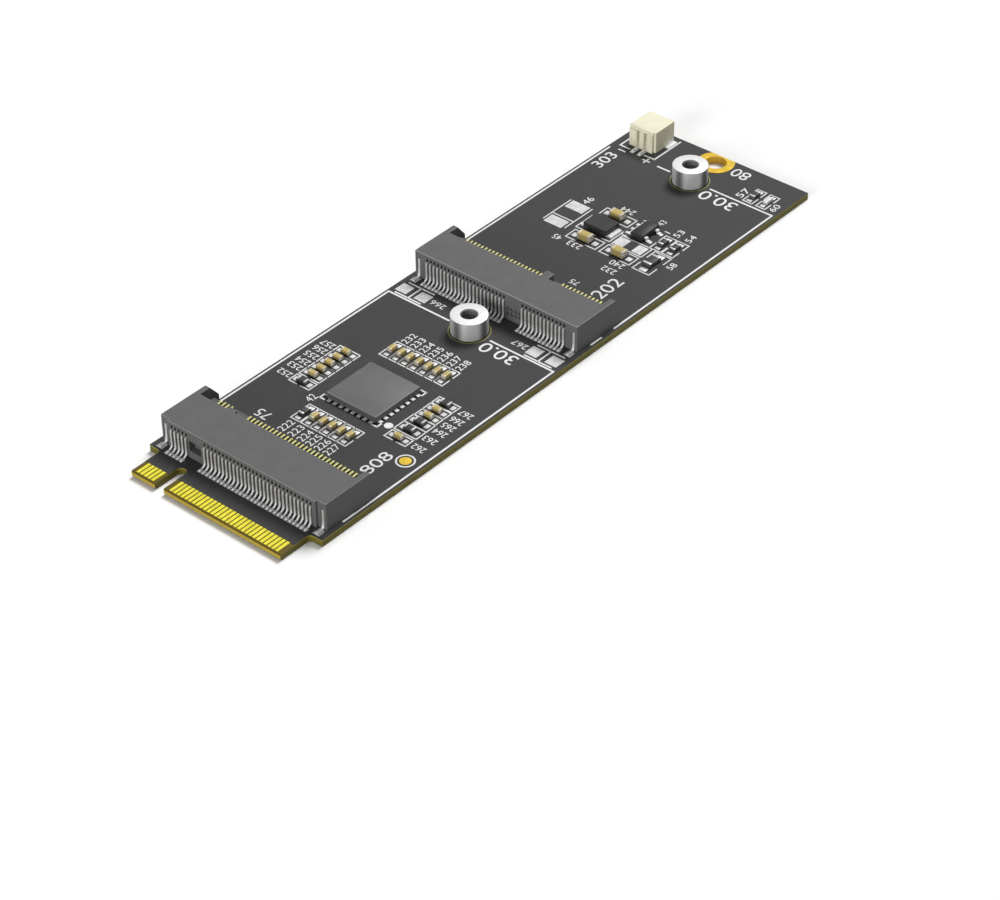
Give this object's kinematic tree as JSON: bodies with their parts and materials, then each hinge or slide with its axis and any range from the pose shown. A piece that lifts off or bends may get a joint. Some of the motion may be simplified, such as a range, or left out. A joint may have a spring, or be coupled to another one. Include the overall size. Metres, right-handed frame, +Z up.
{
  "type": "nvme ssd splitter adapter card",
  "caption": "Long narrow plug-in board with a keyed gold-finger tongue, edge sockets with standoffs, a switch chip, chip parts and a small cable header.",
  "frame": {"origin": "middle of the board on its flat underside", "axes": "+X along the board from the plug-in tongue to the screw-hole end, +Y across it towards the key notch side, +Z up from the underside to the parts"},
  "size_m": [0.0816, 0.023, 0.004],
  "materials": {
    "mask_and_laminate": "dark grey solder mask with a fine satin grain, bare golden laminate at the edges",
    "gold_contact": "bright gold plating",
    "tin_pad": "dull bright tin",
    "plated_steel": "turned, bright nickel plating",
    "socket_plastic": "dark grey moulded plastic, satin",
    "contact_metal": "bright tin-plated spring strip",
    "gilt_contact": "pale gold plating",
    "chip_epoxy": "dark grey epoxy, faint mould grain",
    "black_epoxy": "near black epoxy, satin",
    "capacitor_ceramic": "tan ceramic, slightly waxy",
    "resistor_glaze": "dark glazed film",
    "terminal_tin": "matt tin",
    "led_resin": "milky white resin",
    "header_nylon": "cream nylon, satin",
    "white_ink": "flat white screen print"
  },
  "bodies": {
    "root": {"circuit_board": "mask_and_laminate", "edge_fingers_top": "gold_contact", "edge_fingers_bottom": "gold_contact", "end_hole_plating": "gold_contact", "front_standoff": "plated_steel", "rear_standoff": "plated_steel", "switch_chip": "chip_epoxy", "switch_chip_pads": "tin_pad", "coil_body": "black_epoxy", "coil_terminals": "terminal_tin", "regulator_body": "black_epoxy", "regulator_leads": "contact_metal", "cable_header_housing": "header_nylon", "cable_header_pins": "contact_metal", "cable_header_nails": "contact_metal", "bare_pads": "tin_pad", "module_outline_marks": "white_ink", "small_capacitor_bodies": "capacitor_ceramic", "small_capacitor_terminals": "terminal_tin", "small_resistor_bodies": "resistor_glaze", "small_resistor_terminals": "terminal_tin", "indicator_led_body": "led_resin", "indicator_led_terminals": "terminal_tin", "power_capacitor_bodies": "capacitor_ceramic", "power_capacitor_terminals": "terminal_tin", "large_resistor_body": "resistor_glaze", "large_resistor_terminals": "terminal_tin", "m_key_socket_housing": "socket_plastic", "m_key_socket_upper_contacts": "contact_metal", "m_key_socket_lower_contacts": "gilt_contact", "m_key_socket_hold_down_tabs": "contact_metal", "e_key_socket_housing": "socket_plastic", "e_key_socket_upper_contacts": "contact_metal", "e_key_socket_lower_contacts": "gilt_contact", "e_key_socket_hold_down_tabs": "contact_metal"}
  },
  "joints": []
}
